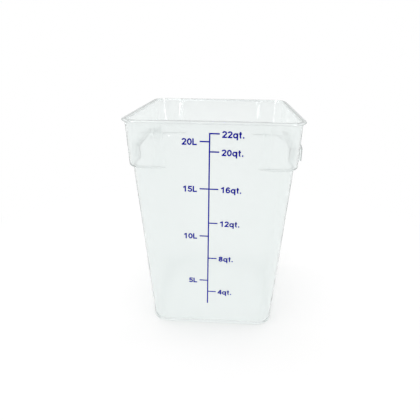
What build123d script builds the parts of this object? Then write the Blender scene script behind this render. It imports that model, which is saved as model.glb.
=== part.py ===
from build123d import *
import math
import os

# Square container for proofing dough, injection moulded in one shot of clear plastic.
# The wall is a drafted rounded square. Towards the mouth each corner steps outwards as a
# hollow pad, the mouth ends in a flat lip that a lid presses over, and the left and right
# sides each carry a ledge with a downturned apron as a handle. A printed volume scale
# lies on the front wall. Millimetres, +Z up, front towards -Y, origin under the middle
# of the base.

# The plain wall, measured outside
HEIGHT = 400
SPREAD = 36
BASE_CORNER = 30
CORNER_AT_RIM = 20
WALL = 3

# The base
FLOOR = 3.4
BASE_EDGE = 2.4
WELL_EDGE = 6
RECESS_DEPTH = 1.8
FOOT_WIDTH = 15
RECESS_DRAFT = 1.5
GATE_WELL_RADIUS = 8
GATE_WELL_DEPTH = 0.6
GATE_RADIUS = 2.2

# The lip round the mouth
RIM_WIDTH = 285.8
LIP_REACH = 8.1
LIP_THICKNESS = 3.8
LIP_EDGE = 1.3
MOUTH_EDGE = 0.7

# The collar of corner pads below the lip. The front and back pads' widths run from the
# lip's side to the foot of the slope that ends the pad.
COLLAR_DEPTH = 76.4
PAD_STEP_LOW = 5.8
PAD_STEP_HIGH = 3.6
PAD_EDGE = 3.2
PAD_HOLLOW_EDGE = 0.8
PAD_WIDTH_LOW = 67.4
PAD_WIDTH_HIGH = 61.4
PAD_RAMP = 6
PAD_RAMP_EDGE = 3

# The handles on the left and the right, each under a notch in the collar
LEDGE_RISE = 22.8
LEDGE_THICKNESS = 3.4
NOTCH_INSET = 73.9
APRON_DROP = 0.6
APRON_WALL = 3
HANDLE_REACH = 12.6
HANDLE_BOW = 5
HANDLE_CORNER = 8
LEDGE_EDGE = 4
LEDGE_ROOT = 0.8

# The printed scale on the front wall, a little off the middle and not quite upright
INK = 0.15
INK_WIDTH = 2.2
SCALE_OFFSET = 8.4
SCALE_LEAN = 0.65
TICK_LENGTH = 14.2
SCALE_FOOT_SHARE = 0.129
QUART_SHARES = {22: 0.953, 20: 0.881, 16: 0.7235, 12: 0.5655, 8: 0.386, 4: 0.199}
LITRE_SHARES = {20: 0.921, 15: 0.7235, 10: 0.5005, 5: 0.263}

OVERRUN = 2

WIDTH_AT_RIM = RIM_WIDTH - 2 * LIP_REACH
BASE_WIDTH = WIDTH_AT_RIM - SPREAD
FLOOR_TOP = RECESS_DEPTH + FLOOR
PAD_BOTTOM = HEIGHT - COLLAR_DEPTH
LEDGE_TOP = PAD_BOTTOM + LEDGE_RISE
APRON_BOTTOM = PAD_BOTTOM - APRON_DROP
NOTCH_WIDTH = RIM_WIDTH - 2 * NOTCH_INSET
HANDLE_SPAN = RIM_WIDTH + 2 * HANDLE_REACH
HANDLE_SPAN_AT_ENDS = HANDLE_SPAN - 2 * HANDLE_BOW

# Half the gain in width for each millimetre of height
DRAFT = SPREAD / 2 / HEIGHT


def half_width(z):
    """Half width outside the plain wall at height z."""
    return BASE_WIDTH / 2 + DRAFT * z


def corner_radius(z):
    """Plan radius outside the plain wall's corners at height z."""
    return BASE_CORNER + (CORNER_AT_RIM - BASE_CORNER) * z / HEIGHT


def rounded_square(z, outwards):
    """Section of the container at height z, moved outwards from the plain wall."""
    width = 2 * (half_width(z) + outwards)
    return Plane.XY.offset(z) * RectangleRounded(width, width, corner_radius(z) + outwards)


def cone_corner(z_low, z_high, outwards_low, outwards_high):
    """Face of the cone that touches the right and back sides, cut to their corner.

    The two sides meet in a line, and the cone's tip lies on it, where the plan radius that
    falls from the low section to the high one would reach nothing.
    """
    half = half_width(z_low) + outwards_low
    radius = corner_radius(z_low) + outwards_low
    radius_lost = radius - corner_radius(z_high) - outwards_high
    lean = (half_width(z_high) + outwards_high - half) / (z_high - z_low)
    to_tip = radius * (z_high - z_low) / radius_lost
    centre = Vector(half - radius, half - radius, z_low)
    tip = Vector(half + lean * to_tip, half + lean * to_tip, z_low + to_tip)
    axis = (tip - centre).normalized()
    length = (tip - centre).length + radius
    spread = math.tan(math.asin(radius / math.hypot(1, lean) / (tip - centre).length))
    start = Plane(origin=centre - axis * radius, x_dir=(-1, -1, 2 * axis.X / axis.Z), z_dir=axis)
    cone = Solid.make_cone(length * spread, 0, length, start)
    touch = centre + Vector(1, 0, -lean) * (radius / (1 + lean * lean))
    across = Vector(1, -1, 0)
    outwards = across.cross(touch - tip).normalized()
    piece = cone.split(Plane(origin=tip, x_dir=across, z_dir=outwards), keep=Keep.TOP)
    piece = piece.split(Plane.XY.offset(z_low), keep=Keep.TOP)
    piece = piece.split(Plane.XY.offset(z_high), keep=Keep.BOTTOM)
    return piece.faces().filter_by(GeomType.CONE)[0]


def drafted(z_low, z_high, outwards_low, outwards_high):
    """Solid between two levels: four flat sides, and part of a cone between each two."""
    corner = cone_corner(z_low, z_high, outwards_low, outwards_high)
    levels = corner.vertices().group_by(Axis.Z)
    low, high = (level.sort_by(Axis.X)[-1].center() for level in (levels[0], levels[-1]))
    low_mirrored, high_mirrored = (Vector(end.X, -end.Y, end.Z) for end in (low, high))
    side = Face(Wire.make_polygon([low_mirrored, low, high, high_mirrored]))
    sides = [face.rotate(Axis.Z, turn) for turn in (0, 90, 180, 270) for face in (corner, side)]
    ends = []
    for level in (0, -1):
        rims = [face.edges().group_by(Axis.Z)[level] for face in sides]
        ends.append(Face(Wire([edge for rim in rims for edge in rim], sequenced=True)))
    return Solid(Shell(sides + ends))


def pad_step(z):
    """How far the collar stands out from the plain wall at height z."""
    share = (z - PAD_BOTTOM) / COLLAR_DEPTH
    return PAD_STEP_LOW + (PAD_STEP_HIGH - PAD_STEP_LOW) * share


def pad_gap_half(z):
    """Half the gap between the two front pads, where they meet the plain wall at height z."""
    share = (z - PAD_BOTTOM) / COLLAR_DEPTH
    return RIM_WIDTH / 2 - (PAD_WIDTH_LOW + (PAD_WIDTH_HIGH - PAD_WIDTH_LOW) * share)


def front_gap(depth):
    """Block that keeps the collar off the middle of the front, with sides that slope open.

    depth is 0 for the outside of the plastic and the wall for its inside.
    """
    slope = PAD_RAMP / PAD_STEP_LOW
    widening = depth * math.tan(math.atan2(PAD_STEP_LOW, PAD_RAMP) / 2)
    start = half_width(PAD_BOTTOM) - depth - WALL / 2
    low = PAD_BOTTOM - OVERRUN
    high = HEIGHT + 2 * OVERRUN
    halves = [
        pad_gap_half(z) + widening + slope * (start + depth - half_width(z)) for z in (low, high)
    ]
    outline = [(-halves[0], low), (halves[0], low), (halves[1], high), (-halves[1], high)]
    profile = Plane.XZ.offset(start) * make_face(Polyline(outline, close=True))
    taper = -math.degrees(math.atan(slope))
    return extrude(profile, RIM_WIDTH / 2 + OVERRUN - start, taper=taper)


def outermost(edge):
    """Largest distance from the middle planes at the edge's centre."""
    return max(abs(edge.center().X), abs(edge.center().Y))


def collar(depth, top, soften):
    """The collar as a block up to a height, with its front and back gaps; depth as above.

    soften rounds or bevels the block's lowest edges.
    """
    low = PAD_BOTTOM + depth
    block = drafted(low, top, pad_step(low) - depth, pad_step(top) - depth)
    block = soften(block.edges().group_by(Axis.Z)[0])
    gap = front_gap(depth)
    return block - gap - gap.rotate(Axis.Z, 180)


def is_ramp_edge(edge):
    """True for an upright edge where a pad's face turns into the slope beside the gap."""
    tall = edge.bounding_box().size.Z > COLLAR_DEPTH / 2
    ramp_top = pad_gap_half(HEIGHT) + 2 * PAD_RAMP
    return tall and abs(edge.center().X) < ramp_top and outermost(edge) > half_width(HEIGHT)


def outer_collar():
    """The collar's outside, with rounded slopes."""
    block = collar(0, HEIGHT, lambda edges: fillet(edges, PAD_EDGE))
    return fillet([e for e in block.edges() if is_ramp_edge(e)], PAD_RAMP_EDGE)


def inner_collar():
    """The hollow behind the collar, raised over each side notch."""
    block = collar(WALL, HEIGHT + OVERRUN, lambda edges: chamfer(edges, PAD_HOLLOW_EDGE))
    reach = half_width(PAD_BOTTOM) - WALL - WALL / 2
    high = LEDGE_TOP - LEDGE_THICKNESS + WALL
    low = PAD_BOTTOM - OVERRUN
    notch = Pos((reach + RIM_WIDTH) / 2, 0, (low + high) / 2) * Box(
        RIM_WIDTH - reach, NOTCH_WIDTH + 2 * WALL, high - low
    )
    return block - notch - notch.rotate(Axis.Z, 180)


def handle_plan(root, inset):
    """Plan of the right handle from a root line out to its bowed front, all moved in."""
    half = NOTCH_WIDTH / 2 + APRON_WALL - inset
    end = HANDLE_SPAN_AT_ENDS / 2 - inset
    front = ThreePointArc((end, -half), (HANDLE_SPAN / 2 - inset, 0), (end, half))
    sides = Polyline((end, half), (root, half), (root, -half), (end, -half))
    face = make_face(front + sides)
    return fillet(face.vertices().group_by(Axis.X)[-1], HANDLE_CORNER - inset)


def handle():
    """Right handle as a block: a ledge with a skirt down from its three free sides."""
    root = half_width(PAD_BOTTOM) + PAD_STEP_LOW - WALL / 2
    plan = Plane.XY.offset(APRON_BOTTOM) * handle_plan(root, 0)
    block = extrude(plan, LEDGE_TOP - APRON_BOTTOM)
    top = [e for e in block.edges().group_by(Axis.Z)[-1] if e.center().X > root + WALL]
    return fillet(top, LEDGE_EDGE)


def finger_space():
    """Space under the right ledge, from the plain wall to the inside of the apron."""
    root = half_width(PAD_BOTTOM) - WALL / 2
    bottom = min(APRON_BOTTOM, PAD_BOTTOM) - OVERRUN
    plan = Plane.XY.offset(bottom) * handle_plan(root, APRON_WALL)
    return extrude(plan, LEDGE_TOP - LEDGE_THICKNESS - bottom)


def outer_form():
    """Everything that the moulding fills before its inside is taken out."""
    grip = handle()
    space = finger_space()
    form = outer_collar() + grip + grip.rotate(Axis.Z, 180)
    form = chamfer([e for e in form.edges() if is_ledge_root(e)], LEDGE_ROOT)
    form = form - space - space.rotate(Axis.Z, 180)
    form += drafted(0, HEIGHT, 0, 0)
    form += lip()
    return chamfer(form.edges().group_by(Axis.Z)[0], BASE_EDGE)


def is_ledge_root(edge):
    """True for the line where the top of a ledge meets the collar."""
    box = edge.bounding_box()
    level = abs(box.max.Z - LEDGE_TOP) < LEDGE_ROOT and box.size.Z < LEDGE_ROOT
    face = half_width(LEDGE_TOP) + pad_step(LEDGE_TOP)
    return level and abs(abs(edge.center().X) - face) < LEDGE_ROOT


def lip():
    """Flat flange round the mouth with its outer edges taken off."""
    flange = extrude(rounded_square(HEIGHT, LIP_REACH), -LIP_THICKNESS)
    rims = flange.edges().group_by(Axis.Z)
    return chamfer(rims[0] + rims[-1], LIP_EDGE)


def inner_form():
    """The inside of the container: the plain well and the hollow behind the collar."""
    well = drafted(FLOOR_TOP, HEIGHT + OVERRUN, -WALL, -WALL)
    well = fillet(well.edges().group_by(Axis.Z)[0], WELL_EDGE)
    return well + inner_collar()


def base_recess():
    """Shallow field under the base, inside the ring that the container stands on."""
    width = BASE_WIDTH - 2 * BASE_EDGE - 2 * FOOT_WIDTH
    narrow = width - 2 * RECESS_DRAFT
    corner = BASE_CORNER - BASE_EDGE
    sections = [
        RectangleRounded(width, width, corner),
        Plane.XY.offset(RECESS_DEPTH) * RectangleRounded(narrow, narrow, corner - RECESS_DRAFT),
    ]
    recess = loft(sections, ruled=True)
    well_top = Plane.XY.offset(RECESS_DEPTH)
    well = well_top * Cylinder(GATE_WELL_RADIUS, 2 * GATE_WELL_DEPTH)
    gate = well_top * Cylinder(GATE_RADIUS, 2 * GATE_WELL_DEPTH)
    return recess + (well - gate)


def container():
    """The whole moulding as one solid."""
    body = outer_form() - inner_form()
    body = chamfer([e for e in body.edges() if is_mouth(e)], MOUTH_EDGE)
    return body - base_recess()


def is_mouth(edge):
    """True for an edge where the top of the lip meets the inside of the wall."""
    box = edge.bounding_box()
    level = box.max.Z > HEIGHT - MOUTH_EDGE and box.size.Z < MOUTH_EDGE
    return level and outermost(edge) < half_width(HEIGHT) + PAD_STEP_HIGH


def front_wall():
    """Plane of the front wall: y up the wall along the printed line, z out of the wall."""
    lean = math.radians(SCALE_LEAN)
    rise = math.sin(lean) / math.hypot(1, DRAFT)
    return Plane(
        origin=(-SCALE_OFFSET, -half_width(0), 0),
        x_dir=(math.cos(lean), DRAFT * rise, -rise),
        z_dir=(0, -1, -DRAFT),
    )


def up_the_wall(share):
    """Distance up the wall of a share of the height."""
    return share * HEIGHT * math.hypot(1, DRAFT)


def scale_line():
    """Upright line of the scale, from under the lowest mark to the highest."""
    low = up_the_wall(SCALE_FOOT_SHARE)
    high = up_the_wall(QUART_SHARES[22]) + INK_WIDTH / 2
    bar = Pos(0, (low + high) / 2) * Rectangle(INK_WIDTH, high - low)
    return extrude(front_wall() * bar, INK)


def ticks(shares, side):
    """Short marks on one side of the line: side is 1 to the right and -1 to the left."""
    middle = side * (INK_WIDTH + TICK_LENGTH) / 2
    marks = [Pos(middle, up_the_wall(s)) * Rectangle(TICK_LENGTH, INK_WIDTH) for s in shares]
    return [extrude(front_wall() * mark, INK) for mark in marks]


nodes = {
    "container": container(),
    "scale_line": scale_line(),
    "quart_ticks": Compound(ticks(QUART_SHARES.values(), 1)),
    "litre_ticks": Compound(ticks(LITRE_SHARES.values(), -1)),
}

os.makedirs("parts", exist_ok=True)
for name, shape in nodes.items():
    export_step(shape, f"parts/{name}.step")
    print(name, len(shape.solids()), "solids", round(shape.volume), "mm3")
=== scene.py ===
# %% [markdown]
# # A dough proofing container, dressed in Blender
#
# The real object is one clear plastic moulding with a blue volume scale printed on its
# front. There is little to see but light: thin walls tint what is behind them, corners and
# edges draw darker lines, and the print floats in front. So most of this lesson is about
# clear plastic, and the rest about putting a print on a sloping wall.

# %% Load the measured model
import math

import bmesh
import bpy
import numpy as np
from mathutils import Matrix, Vector


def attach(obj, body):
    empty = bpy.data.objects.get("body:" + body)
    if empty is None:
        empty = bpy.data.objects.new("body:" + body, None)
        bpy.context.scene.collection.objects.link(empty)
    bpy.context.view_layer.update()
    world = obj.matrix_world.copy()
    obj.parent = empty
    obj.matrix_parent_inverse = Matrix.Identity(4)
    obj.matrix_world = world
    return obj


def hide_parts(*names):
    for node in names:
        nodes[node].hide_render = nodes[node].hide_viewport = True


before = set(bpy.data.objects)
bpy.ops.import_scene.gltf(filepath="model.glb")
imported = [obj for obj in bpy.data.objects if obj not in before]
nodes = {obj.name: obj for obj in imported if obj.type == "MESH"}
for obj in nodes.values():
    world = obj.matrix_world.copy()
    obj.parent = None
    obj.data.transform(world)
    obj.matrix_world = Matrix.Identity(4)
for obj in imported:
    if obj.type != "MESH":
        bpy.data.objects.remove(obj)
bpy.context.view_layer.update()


MM = 0.001
print("pieces from the model:", sorted(nodes))

# %% [markdown]
# ## The camera
#
# The photograph looks slightly down at the front, from a little to the right. The place and
# the lens were fitted to the rim, the pads and the base. The camera leans by less than a
# degree, so its axes are built from three angles and then turned by that lean. A small shift
# keeps the object where the photograph has it in the frame.

# %% Place the camera
SENSOR_WIDTH = 36
SIDE_PIXELS = 420
FOCAL_PIXELS = 348.81
SHIFT_PIXELS = (-5.95, -11.19)
AZIMUTH, ELEVATION, LEAN = (math.radians(a) for a in (2.7, 22.68, 0.73))
AIM = Vector((0.36, 0, 218.35)) * MM
DISTANCE = 714.42 * MM

back = Vector(
    (
        math.sin(AZIMUTH) * math.cos(ELEVATION),
        -math.cos(AZIMUTH) * math.cos(ELEVATION),
        math.sin(ELEVATION),
    )
)
across = (-back).cross(Vector((0, 0, 1))).normalized()
above = across.cross(-back)
right = across * math.cos(LEAN) + above * math.sin(LEAN)
up = above * math.cos(LEAN) - across * math.sin(LEAN)

camera_data = bpy.data.cameras.new("camera")
camera_data.sensor_width = SENSOR_WIDTH
camera_data.lens = SENSOR_WIDTH * FOCAL_PIXELS / SIDE_PIXELS
camera_data.shift_x, camera_data.shift_y = (pixels / SIDE_PIXELS for pixels in SHIFT_PIXELS)
camera = bpy.data.objects.new("camera", camera_data)
turn = Matrix((right, up, back)).transposed().to_4x4()
camera.matrix_world = Matrix.Translation(AIM + back * DISTANCE) @ turn
bpy.context.scene.collection.objects.link(camera)
bpy.context.scene.camera = camera
print("lens", round(camera_data.lens, 2), "mm, camera at", tuple(camera.location))

# %% [markdown]
# ## The room
#
# The photograph was taken in a bright, even room, on white. Here an even white world stands
# for it. It is full white only for what the camera sees, straight or through the plastic,
# so that no extra light falls on the object.
#
# Clear plastic on white shows mostly by its edges. Seen along its skin, a corner stops
# being a window and becomes a mirror, so a room that is darker to the sides draws it a grey
# outline. Hence three masks: one for all that the camera sees, one for what it sees bent,
# through the plastic, and one for what it sees mirrored, which gets its own darker tone.
# The floor close by is lighter than the room in that mirror, so the outline softens
# towards the foot. The far floor and the world, seen through the plastic, fade a little
# too, as they do behind the mouth of the real one.

# %% What the camera sees
def math_node(tree, operation, *values):
    """A Math node fed by numbers or outputs; gives its own output."""
    node = tree.nodes.new("ShaderNodeMath")
    node.operation = operation
    for socket, value in zip(node.inputs, values):
        if isinstance(value, bpy.types.NodeSocket):
            tree.links.new(value, socket)
        else:
            socket.default_value = value
    return node.outputs[0]


def seen_light(tree):
    """Masks for what the camera sees in any way, for what it sees bent, and for mirrored."""
    path = tree.nodes.new("ShaderNodeLightPath").outputs
    bent = path["Is Transmission Ray"]
    mirrored = math_node(tree, "SUBTRACT", path["Is Glossy Ray"], bent)
    mirrored = math_node(tree, "MAXIMUM", mirrored, 0.0)
    either = math_node(tree, "MAXIMUM", bent, mirrored)
    return math_node(tree, "MAXIMUM", path["Is Camera Ray"], either), bent, mirrored


# %% World
ROOM_LIGHT = 0.97
FAR_TONE = 0.7  # brightness of the far floor and the world, seen through the plastic
MIRRORED_TONE = 0.43  # brightness of the room, seen mirrored in the plastic

world = bpy.data.worlds.new("room")
world.use_nodes = True
tree = world.node_tree
seen, bent, mirrored = seen_light(tree)
background = tree.nodes["Background"]
background.inputs["Color"].default_value = (1, 1, 1, 1)
white = math_node(tree, "MULTIPLY_ADD", seen, 1 - ROOM_LIGHT, ROOM_LIGHT)
strength = math_node(tree, "MULTIPLY_ADD", bent, FAR_TONE - 1, white)
strength = math_node(tree, "MULTIPLY_ADD", mirrored, MIRRORED_TONE - 1, strength)
tree.links.new(strength, background.inputs["Strength"])
bpy.context.scene.world = world
print("world", ROOM_LIGHT, "seen bent", FAR_TONE, "and mirrored", MIRRORED_TONE)

# %% [markdown]
# A look through the container crosses its skin at least four times, and a look along a
# corner many more. With the usual number of bounces such paths end early, as black dots.

# %% Enough bounces for clear plastic
BOUNCES = {
    "max_bounces": 32,
    "transmission_bounces": 32,
    "glossy_bounces": 24,
    "transparent_max_bounces": 32,
}
for kind, count in BOUNCES.items():
    setattr(bpy.context.scene.cycles, kind, count)
print("bounces:", BOUNCES)

# %% [markdown]
# ## Light
#
# Three soft panels, above and to both sides, give the object a little more light from one
# place than from another, as lamps and windows in a room do. They are weak, because the
# white world already lights everything.
#
# Two low windows in front light nothing. They are seen only as mirror images, and draw the
# pale gleams on the pads and corners at the back.

# %% Light panels and windows
LIGHT_AIM = Vector((0, 0, 0.2))
PANELS = {  # place, size and power
    "overhead_panel": ((-0.5, -0.3, 1.9), (1.2, 0.9), 5),
    "left_panel": ((-1.3, 0.5, 0.9), (0.35, 1.3), 3),
    "right_panel": ((1.4, 0.3, 0.9), (0.3, 1.3), 3.5),
}
WINDOWS = {
    "left_window": ((-0.86, -1.23, 0.3), (0.14, 0.28), 5),
    "right_window": ((0.92, -1.23, 0.3), (0.14, 0.28), 5),
}


def panel(name, place, size, power):
    """A flat rectangle of light at a place, turned to face the aim point."""
    data = bpy.data.lights.new(name, "AREA")
    data.shape = "RECTANGLE"
    data.size, data.size_y = size
    data.energy = power
    light = bpy.data.objects.new(name, data)
    light.location = place
    light.rotation_euler = (Vector(place) - LIGHT_AIM).to_track_quat("Z", "Y").to_euler()
    bpy.context.scene.collection.objects.link(light)
    return light


for name, values in PANELS.items():
    panel(name, *values)
for name, values in WINDOWS.items():
    panel(name, *values).visible_diffuse = False  # seen in the plastic, but lights nothing
print("lights:", *PANELS, *WINDOWS)

# %% [markdown]
# ## Floor and background
#
# The object stands on white paper that runs on as the background, with no edge to be seen.
# Near the object it is plain matte paper, which takes the soft shadow. Further out it turns
# into an even glow of full white, but only for the camera, so that it lights nothing.

# %% Nodes that the materials share
def ramp_node(tree, value, start, end, smooth=False):
    """A Map Range node that runs from one (value, result) pair to another."""
    node = tree.nodes.new("ShaderNodeMapRange")
    if smooth:
        node.interpolation_type = "SMOOTHSTEP"
    for socket, number in zip(("From Min", "To Min", "From Max", "To Max"), (*start, *end)):
        node.inputs[socket].default_value = number
    tree.links.new(value, node.inputs["Value"])
    return node.outputs["Result"]


def mix_node(tree, share, first, second):
    """A Mix Shader node: the second shader where the share is 1; gives its own output."""
    node = tree.nodes.new("ShaderNodeMixShader")
    for socket, value in zip(node.inputs, (share, first, second)):
        tree.links.new(value, socket)
    return node.outputs["Shader"]


def noise_node(tree, place, scale, detail):
    """A Noise Texture node at a place; gives its height, from 0 to 1."""
    node = tree.nodes.new("ShaderNodeTexNoise")
    node.inputs["Scale"].default_value = scale
    node.inputs["Detail"].default_value = detail
    tree.links.new(place, node.inputs["Vector"])
    return node.outputs["Fac"]


def new_material(name):
    """A material with its nodes; gives the material, its tree and its Principled shader."""
    material = bpy.data.materials.new(name)
    material.use_nodes = True
    return material, material.node_tree, material.node_tree.nodes["Principled BSDF"]


# %% Floor
FLOOR_HALF = 12.0
FLOOR_LEVEL = -0.0002
PAPER_TONE = (0.892, 0.885, 0.885)
PAPER_ROUGHNESS = 0.9
MATTE_UP_TO, WHITE_FROM = 0.28, 0.75  # distances from the middle
BENT_TONES = ((0.28, 1.09), (7.5, FAR_TONE))  # distance, and brightness there, seen bent
MIRRORED_TONES = ((0.15, 0.65), (0.5, MIRRORED_TONE))  # the same, seen mirrored


def flat_sheet(name, half, level):
    """A square sheet at a level: x and y each run from -half to half."""
    x, y = np.meshgrid((-half, half), (-half, half))
    points = np.stack([x, y, np.full(x.shape, level)], -1).reshape(-1, 3)
    mesh = bpy.data.meshes.new(name)
    mesh.from_pydata(points.tolist(), [], [(0, 1, 3, 2)])
    sheet = bpy.data.objects.new(name, mesh)
    bpy.context.scene.collection.objects.link(sheet)
    return sheet


def white_paper():
    """Matte paper that turns to an even white glow between two distances from the object.

    Seen through the plastic or mirrored in it, the paper glows at every distance, in a tone
    that runs from a near to a far one.
    """
    material, tree, matte = new_material("white_paper")
    matte.inputs["Base Color"].default_value = (*PAPER_TONE, 1)
    matte.inputs["Roughness"].default_value = PAPER_ROUGHNESS
    matte.inputs["Specular IOR Level"].default_value = 0.0
    glow = tree.nodes.new("ShaderNodeEmission")
    seen, bent, mirrored = seen_light(tree)
    place = tree.nodes.new("ShaderNodeTexCoord").outputs["Object"]
    length = tree.nodes.new("ShaderNodeVectorMath")
    length.operation = "LENGTH"
    tree.links.new(place, length.inputs[0])
    distance = length.outputs["Value"]
    strength = 1.0
    for mask, tones in ((bent, BENT_TONES), (mirrored, MIRRORED_TONES)):
        change = ramp_node(tree, distance, *((reach, tone - 1) for reach, tone in tones))
        strength = math_node(tree, "MULTIPLY_ADD", mask, change, strength)
    tree.links.new(strength, glow.inputs["Strength"])
    fade = ramp_node(tree, distance, (MATTE_UP_TO, 0), (WHITE_FROM, 1), smooth=True)
    share = math_node(tree, "MULTIPLY", fade, seen)
    for mask in (bent, mirrored):
        share = math_node(tree, "MAXIMUM", share, mask)
    shader = mix_node(tree, share, matte.outputs["BSDF"], glow.outputs["Emission"])
    tree.links.new(shader, tree.nodes["Material Output"].inputs["Surface"])
    return material


floor = flat_sheet("floor", FLOOR_HALF, FLOOR_LEVEL)
floor.data.materials.append(white_paper())
print("floor:", 2 * FLOOR_HALF, "m wide")

# %% [markdown]
# ## Clear plastic
#
# Polycarbonate bends light a little more than window glass, with an index of 1.58. Its
# faint green-grey tint comes from depth, not from the surface: a wall looks pale from the
# front, and a corner or an edge darker, because the light runs further inside it. That is
# what Volume Absorption does, so the tint is set there and the surface stays colourless.
#
# A moulded wall is never optically flat. A slow waviness, a few hundredths of a millimetre
# deep, bends the background slightly, and fine rubbing from stacking breaks up the gloss.
# Both are noise on object coordinates.
#
# Kitchen plastic isn't quite clear either. Its skin is scratched and holds a faint bloom,
# which hides the far corners and evens out the walls. That haze is part of the shader for
# light that enters the plastic. Light that leaves it meets a clearer one, or else edges,
# which are met many times from within, would go white. The foot and the lip take the
# rubbing of shelves and lids, so they are hazier and rougher.
#
# Light that only passes through, on its way to the floor or the print, takes a plain see-
# through path. That spares the render the speckle of focused light and leaves the shadow
# as soft as the real one.

# %% Clear plastic material
REFRACTION = 1.58
BOTH_WALLS = 6.9 * MM
PASSED = (0.85, 0.895, 0.89)  # what is left of white light after both walls
DENSITY = 20.0
SEE_THROUGH = (0.98, 0.98, 0.98)  # what the see-through path leaves at each skin

HAZE = (0.945, 0.975, 0.97)  # its colour
CLEARNESS = 0.57  # share of light that passes the skin on its way in, and not as haze
INNER_CLEARNESS = 0.96  # the same on its way out

RUBBING = (55, 5)  # scale and detail of the noise
GLOSS = ((0.35, 0.015), (0.75, 0.06))  # noise, and roughness there
WORN = ((0.012, 0.004, 1.0), (0.3955, 0.3965, 0.3))  # where clear, where worn, how worn
WORN_ROUGHNESS = 0.6
WORN_CLEARNESS = 0.1
WORN_SKIN = (0.1132, 0.1142)  # the foot is worn outside only, past this distance from the axis

WAVES = (14, 1)  # scale and detail of the noise
WAVE_STRENGTH = 0.5
WAVE_DEPTH = 0.04 * MM


def absorption_colour(passed, depth, density):
    """The colour that leaves these shares of light after this depth of plastic.

    Each part of it is 1 + ln(passed) / depth / density.
    """
    return tuple(1 + math.log(share) / depth / density for share in passed)


def clear_plastic():
    """Clear plastic: hazy skin, clearer from within, and a tint that grows with depth."""
    material, tree, outside = new_material("clear_polycarbonate")
    outside.inputs["Base Color"].default_value = (*HAZE, 1)
    outside.inputs["Transmission Weight"].default_value = CLEARNESS
    inside = tree.nodes.new("ShaderNodeBsdfPrincipled")
    inside.inputs["Base Color"].default_value = (1, 1, 1, 1)
    inside.inputs["Transmission Weight"].default_value = INNER_CLEARNESS

    place = tree.nodes.new("ShaderNodeTexCoord").outputs["Object"]
    gloss = ramp_node(tree, noise_node(tree, place, *RUBBING), *GLOSS)
    axes = tree.nodes.new("ShaderNodeSeparateXYZ")
    tree.links.new(place, axes.inputs["Vector"])
    wear = 0.0
    for clear_at, worn_at, share in WORN:
        scuffs = ramp_node(tree, axes.outputs["Z"], (clear_at, 0), (worn_at, share))
        wear = math_node(tree, "MAXIMUM", wear, scuffs)
    worn_rough = math_node(tree, "MULTIPLY", wear, WORN_ROUGHNESS)
    roughness = math_node(tree, "MAXIMUM", gloss, worn_rough)
    sideways = [math_node(tree, "ABSOLUTE", axes.outputs[axis]) for axis in "XY"]
    sideways = math_node(tree, "MAXIMUM", *sideways)
    skin = ramp_node(tree, sideways, (WORN_SKIN[0], 0), (WORN_SKIN[1], 1))
    worn = math_node(tree, "MULTIPLY", wear, skin)
    clearness = math_node(tree, "MULTIPLY_ADD", worn, WORN_CLEARNESS - CLEARNESS, CLEARNESS)
    tree.links.new(clearness, outside.inputs["Transmission Weight"])

    bump = tree.nodes.new("ShaderNodeBump")
    bump.inputs["Strength"].default_value = WAVE_STRENGTH
    bump.inputs["Distance"].default_value = WAVE_DEPTH
    tree.links.new(noise_node(tree, place, *WAVES), bump.inputs["Height"])
    for shader in (outside, inside):
        shader.inputs["IOR"].default_value = REFRACTION
        tree.links.new(roughness, shader.inputs["Roughness"])
        tree.links.new(bump.outputs["Normal"], shader.inputs["Normal"])

    from_within = tree.nodes.new("ShaderNodeNewGeometry").outputs["Backfacing"]
    surface = mix_node(tree, from_within, outside.outputs["BSDF"], inside.outputs["BSDF"])
    through = tree.nodes.new("ShaderNodeBsdfTransparent")
    through.inputs["Color"].default_value = (*SEE_THROUGH, 1)
    path = tree.nodes.new("ShaderNodeLightPath").outputs
    passing = math_node(tree, "MAXIMUM", path["Is Shadow Ray"], path["Is Diffuse Ray"])
    surface = mix_node(tree, passing, surface, through.outputs["BSDF"])

    tint = tree.nodes.new("ShaderNodeVolumeAbsorption")
    tint.inputs["Color"].default_value = (*absorption_colour(PASSED, BOTH_WALLS, DENSITY), 1)
    tint.inputs["Density"].default_value = DENSITY
    out = tree.nodes["Material Output"]
    tree.links.new(surface, out.inputs["Surface"])
    tree.links.new(tint.outputs["Volume"], out.inputs["Volume"])
    return material


plastic = clear_plastic()
print("tint colour:", absorption_colour(PASSED, BOTH_WALLS, DENSITY), "density:", DENSITY)

# %% [markdown]
# ## The moulding
#
# The measured model is made of loose flat triangles. Clear plastic needs its surface joined,
# so that light knows when it is inside, and smooth, so that corners bend it gradually. So
# the moulding is a copy of the model's mesh with shared points.

# %% Joined, smooth moulding
SAME_POINT = 1e-6  # points closer than this, in metres, become one
NO_LENGTH = 1e-7  # edges shorter than this are taken out
FACETED = ("custom_normal", "sharp_face", "sharp_edge")  # what keeps the model's facets flat


def joined_copy(source, name):
    """A copy of a mesh with its loose triangles joined and shaded smooth."""
    mesh = source.data.copy()
    mesh.name = name
    for layer in FACETED:
        if layer in mesh.attributes:
            mesh.attributes.remove(mesh.attributes[layer])
    work = bmesh.new()
    work.from_mesh(mesh)
    bmesh.ops.remove_doubles(work, verts=work.verts, dist=SAME_POINT)
    bmesh.ops.dissolve_degenerate(work, dist=NO_LENGTH, edges=work.edges)
    open_edges = sum(not e.is_manifold for e in work.edges)
    work.to_mesh(mesh)
    work.free()
    mesh.shade_smooth()
    mesh.materials.clear()
    copy = bpy.data.objects.new(name, mesh)
    bpy.context.scene.collection.objects.link(copy)
    print(name, len(mesh.polygons), "faces,", open_edges, "open edges")
    return copy


moulding = joined_copy(nodes["container"], "moulding")
moulding.data.materials.append(plastic)

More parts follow.
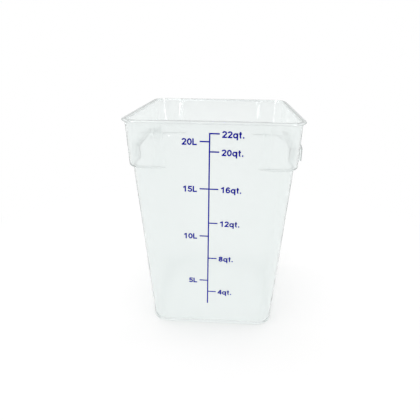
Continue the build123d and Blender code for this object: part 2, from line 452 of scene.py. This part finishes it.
# %% [markdown]
# The pads under the rim don't begin at a line. In the photograph each one grows out of the
# front or back wall over more than 20 mm, so that its foot fades towards the middle, the
# wall shows no upright line, and the back wall catches a soft gleam there. The measured
# model has the same pads with a short ramp. The points there are therefore spread along the
# wall, to both sides of the ramp. That changes nothing where the wall or the pad is flat,
# and makes the ramp itself longer and gentler, inside and out.

# %% Gentle pad ends
FOOT_LEVEL, MOUTH_LEVEL = 323.6, 400.0
SLACK = 1.0  # how far below the foot of the pads a point may still be theirs
WALL_DISTANCE = 112.0  # near the ramps, only the front and back walls lie beyond this in y
RAMP_START = (75.5, 81.5)  # from the middle to the model's ramp, at the foot and at the mouth
DISTANCES = (-20.0, 0.0, 7.4, 30.0)  # along the wall, from where the ramp starts
NEW_DISTANCES = (-20.0, -4.5, 19.5, 30.0)


def lengthen_ramps(mesh):
    """Move points sideways: x grows by new distance - distance, mirrored on the left."""
    flat = np.empty(len(mesh.vertices) * 3)
    mesh.vertices.foreach_get("co", flat)
    points = flat.reshape(-1, 3) / MM
    x, y, z = points.T
    distance = np.abs(x) - np.interp(z, (FOOT_LEVEL, MOUTH_LEVEL), RAMP_START)
    shift = np.interp(distance, DISTANCES, NEW_DISTANCES) - distance
    near = (distance > DISTANCES[0]) & (distance < DISTANCES[-1])
    moved = near & (z > FOOT_LEVEL - SLACK) & (np.abs(y) > WALL_DISTANCE)
    points[moved, 0] += (np.sign(x) * shift)[moved]
    mesh.vertices.foreach_set("co", (points * MM).ravel())
    mesh.update()
    return int(moved.sum())


print("points moved along the wall:", lengthen_ramps(moulding.data))

# %% [markdown]
# Creases stay where two faces meet at more than a third of a right angle, and are found now,
# when the ramps are too gentle to have any. A large flat face beside a small rounding would
# still lean its shading towards the rounding, and bend light over its whole width. So each
# point takes its direction from the larger faces round it.

# %% Even shading, and what the moulding stands for
CREASE = math.radians(30)

moulding.data.set_sharp_from_angle(angle=CREASE)
evener = moulding.modifiers.new("flat_faces_stay_flat", "WEIGHTED_NORMAL")
evener.mode = "FACE_AREA"
evener.weight = 100  # the largest faces alone decide
evener.keep_sharp = True
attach(moulding, "root")
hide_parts("container")
creases = moulding.data.attributes["sharp_edge"].data
print("creases:", sum(edge.value for edge in creases), "of", len(creases), "edges")

# %% [markdown]
# ## Ink
#
# The scale is screen printed in a strong blue, a film so thin that it only shows as colour.
# Printed ink on plastic is satin and a touch uneven: the mesh of the screen leaves some
# places thinner. The colour therefore varies slightly on a fine noise.

# %% Ink material
INK_COLOUR = (0.003, 0.004, 0.24)
THIN_INK = (0.012, 0.014, 0.4)
INK_ROUGHNESS = 0.5
INK_SHINE = 0.06
SCREEN_GRAIN = (420, 3)  # scale and detail of the noise


def printed_ink():
    """Satin blue with a fine unevenness."""
    material, tree, shader = new_material("blue_ink")
    shader.inputs["Roughness"].default_value = INK_ROUGHNESS
    shader.inputs["Specular IOR Level"].default_value = INK_SHINE
    place = tree.nodes.new("ShaderNodeTexCoord").outputs["Object"]
    blend = tree.nodes.new("ShaderNodeMix")
    blend.data_type = "RGBA"
    blend.inputs["A"].default_value = (*INK_COLOUR, 1)
    blend.inputs["B"].default_value = (*THIN_INK, 1)
    tree.links.new(noise_node(tree, place, *SCREEN_GRAIN), blend.inputs["Factor"])
    tree.links.new(blend.outputs["Result"], shader.inputs["Base Color"])
    return material


ink = printed_ink()
for name in ("scale_line", "quart_ticks", "litre_ticks"):
    slots = nodes[name].material_slots
    for slot in slots:
        slot.material = ink
    print(name, "slots", len(slots))

# %% [markdown]
# ## Numerals and units
#
# Each mark has its number and unit beside it, in bold letters without feet. A letter here is
# one or two pen strokes. Each stroke is a centre line of straight runs and parts of ellipses,
# given in shares of the numeral's height, and widened by half a stroke to each side. The
# strokes are flat ribbons, first laid out on a plane, then placed on the sloping front wall.

# %% Pen strokes
NUMERAL_HEIGHT = 10.7
STROKE = 0.215  # share of the numeral's height
HALF = STROKE / 2
MITRE_LIMIT = 2.0  # no corner of a ribbon lies further out than this many half strokes


def run(*points):
    """Centre line through straight runs."""
    return np.array(points, float)


def bow(centre, radii, start, end, steps=28):
    """Part of an ellipse: centre + (radius_x cos a, radius_y sin a), a from start to end."""
    a = np.radians(np.linspace(start, end, steps))
    return np.stack([centre[0] + radii[0] * np.cos(a), centre[1] + radii[1] * np.sin(a)], -1)


def ribbon(line, closed):
    """Left and right edges of a centre line: each point moved half a stroke along its mitre."""
    if closed:
        step_out = np.roll(line, -1, 0) - line
        step_in = line - np.roll(line, 1, 0)
    else:
        steps = np.diff(line, axis=0)
        step_out = np.vstack([steps, steps[-1:]])
        step_in = np.vstack([steps[:1], steps])
    step_out = step_out / np.linalg.norm(step_out, axis=1, keepdims=True)
    step_in = step_in / np.linalg.norm(step_in, axis=1, keepdims=True)
    along = step_out + step_in
    along = along / np.linalg.norm(along, axis=1, keepdims=True)
    stretch = 1 / np.maximum((along * step_out).sum(1, keepdims=True), 1 / MITRE_LIMIT)
    side = np.stack([-along[:, 1], along[:, 0]], -1) * HALF * stretch
    return line + side, line - side


# %% The glyphs
DIGIT = 0.71  # width of a numeral as a share of its height
MID = DIGIT / 2
STEP = 0.774  # from one numeral to the next
OVAL_STEPS = 48


def pen(*parts):
    """An open stroke through runs and bows, one after another."""
    return np.vstack(parts), False


def loop(x, y, wide, high):
    """A closed stroke round an oval."""
    last = 360 - 360 / OVAL_STEPS
    return bow((x, y), (wide, high), 0, last, OVAL_STEPS), True


GLYPHS = {  # the strokes of each, and the step to the next
    "0": ([loop(MID, 0.5, MID - HALF, 0.5 - HALF)], STEP),
    "1": ([pen(run((0.43, 0), (0.43, 1))), pen(run((0.1, 0.7), (0.43, 0.9)))], STEP),
    "2": (
        [
            pen(
                bow((MID, 0.69), (MID - HALF, 0.31 - HALF), 172, -38),
                run((0.2, HALF + 0.08)),
            ),
            pen(run((0.02, HALF), (DIGIT - 0.01, HALF))),
        ],
        STEP,
    ),
    "4": (
        [
            pen(run((0.53, 0), (0.53, 1))),
            pen(run((0.49, 0.94), (0.1, 0.33), (0.1, 0.31), (0.72, 0.31))),
        ],
        STEP,
    ),
    "5": (
        [
            pen(run((0.66, 1 - HALF), (0.2, 1 - HALF), (0.14, 0.5))),
            pen(bow((MID - 0.01, 0.34), (MID - HALF + 0.01, 0.34 - HALF), 138, -165)),
        ],
        STEP,
    ),
    "6": (
        [
            loop(MID + 0.01, 0.33, MID - HALF, 0.33 - HALF),
            pen(bow((MID + 0.03, 0.5), (MID - HALF + 0.03, 0.5 - HALF), 40, 195)),
        ],
        STEP,
    ),
    "8": (
        [
            loop(MID, 0.745, MID - HALF - 0.03, 0.255 - HALF),
            loop(MID, 0.29, MID - HALF, 0.29 - HALF),
        ],
        STEP,
    ),
    "q": (
        [
            loop(0.36, 0.37, 0.36 - HALF, 0.38 - HALF),
            pen(run((0.64, -0.27), (0.64, 0.74))),
        ],
        0.851,
    ),
    "t": (
        [
            pen(run((0.2, 0.95)), bow((0.33, 0.22), (0.13, 0.13), 180, 280, 9)),
            pen(run((0.01, 0.66), (0.4, 0.66))),
        ],
        0.464,
    ),
    ".": ([pen(run((0.2, 0), (0.2, 0.22)))], 0.387),
    "L": ([pen(run((0.11, 1), (0.11, HALF), (0.66, HALF)))], 0.851),
}
print("glyphs:", " ".join(GLYPHS))

# %% [markdown]
# ## Where the words sit
#
# The print leans by two thirds of a degree, as it does in the photograph, so its own axes
# are the wall's axes turned by that much. A point of the print is found from the foot of the
# printed line: so far across, so far up the wall, and a film's thickness out of it.

# %% The print's place on the wall
HEIGHT = 400
BASE_HALF = 116.8  # from the axis to the front wall's plane, at the level of the base
SLOPE = 0.045  # how far the wall leans out for each millimetre up
SCALE_OFFSET = 8.4  # the foot of the printed line stands this far left of the middle
SCALE_LEAN = math.radians(0.65)
INK_FILM = 0.15

steep = math.hypot(1, SLOPE)
rise = math.sin(SCALE_LEAN) / steep
print_across = np.array([math.cos(SCALE_LEAN), SLOPE * rise, -rise])
print_outwards = np.array([0, -1, -SLOPE]) / steep
print_up = np.cross(print_outwards, print_across)
print_foot = np.array([-SCALE_OFFSET, -BASE_HALF, 0])
print("foot of the printed line:", print_foot, "mm, going up along", print_up)


def on_the_wall(flat, lift):
    """Points (across, up) of the print, in millimetres, as places in metres."""
    return (
        print_foot
        + flat[:, :1] * print_across
        + flat[:, 1:2] * print_up
        + lift * print_outwards
    ) * MM


def word_strokes(text):
    """Both edges of every stroke of a word, in millimetres from its left end."""
    strokes, x = [], 0.0
    for letter in text:
        lines, advance = GLYPHS[letter]
        for line, closed in lines:
            left, right = ((edge + (x, 0)) * NUMERAL_HEIGHT for edge in ribbon(line, closed))
            strokes.append((left, right, closed))
        x += advance
    return strokes


def stroke_mesh(left, right, closed, start):
    """Closed thin bar over a ribbon: points and quads of its two faces and its edges.

    Rings of four points (left and right, front and back) follow the centre line.
    """
    ring = np.stack(
        [
            on_the_wall(left, INK_FILM),
            on_the_wall(left, 0.0),
            on_the_wall(right, 0.0),
            on_the_wall(right, INK_FILM),
        ],
        1,
    )
    count = len(ring)
    n = start + np.arange(count * 4).reshape(count, 4)
    ahead = np.roll(n, -1, 0) if closed else n[1:]
    here = n if closed else n[:-1]
    quads = np.stack([here, ahead, np.roll(ahead, -1, 1), np.roll(here, -1, 1)], -1)
    quads = quads.reshape(-1, 4)
    if not closed:
        quads = np.vstack([quads, n[:1], n[-1:, ::-1]])
    return ring.reshape(-1, 3), quads


# %% Print the words
# Amount, and the height of its mark as a share of the wall's
QUARTS = {22: 0.953, 20: 0.881, 16: 0.7235, 12: 0.5655, 8: 0.386, 4: 0.199}
LITRES = {20: 0.921, 15: 0.7235, 10: 0.5005, 5: 0.263}
QUART_START = 18.8  # where the words on the right of the line begin
LITRE_END = -19.6  # where those on the left end
WORD_DROP = 0.8  # the words sit a little under the middle of their marks


def print_words(name, marks, unit, right_hand):
    """One piece with the numbers of a scale, each beside its mark."""
    points, faces, start = [], [], 0
    for amount, share in marks.items():
        strokes = word_strokes(f"{amount}{unit}")
        reach = max(edge[:, 0].max() for *edges, _ in strokes for edge in edges)
        across = QUART_START if right_hand else LITRE_END - reach
        up = share * HEIGHT * steep - NUMERAL_HEIGHT / 2 - WORD_DROP
        for left, right, closed in strokes:
            ring, quads = stroke_mesh(left + (across, up), right + (across, up), closed, start)
            points.append(ring)
            faces.append(quads)
            start += len(ring)
    mesh = bpy.data.meshes.new(name)
    mesh.from_pydata(np.vstack(points).tolist(), [], np.vstack(faces).tolist())
    mesh.materials.append(ink)
    work = bmesh.new()
    work.from_mesh(mesh)
    bmesh.ops.recalc_face_normals(work, faces=work.faces)
    work.to_mesh(mesh)
    work.free()
    words = bpy.data.objects.new(name, mesh)
    bpy.context.scene.collection.objects.link(words)
    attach(words, "root")
    print(name, len(mesh.polygons), "faces")


print_words("quart_numbers", QUARTS, "qt.", True)
print_words("litre_numbers", LITRES, "L", False)

# %% [markdown]
#
# The Standard view shows colours as they are written.

# %% Finish
bpy.context.scene.view_settings.view_transform = "Standard"
bpy.context.view_layer.update()
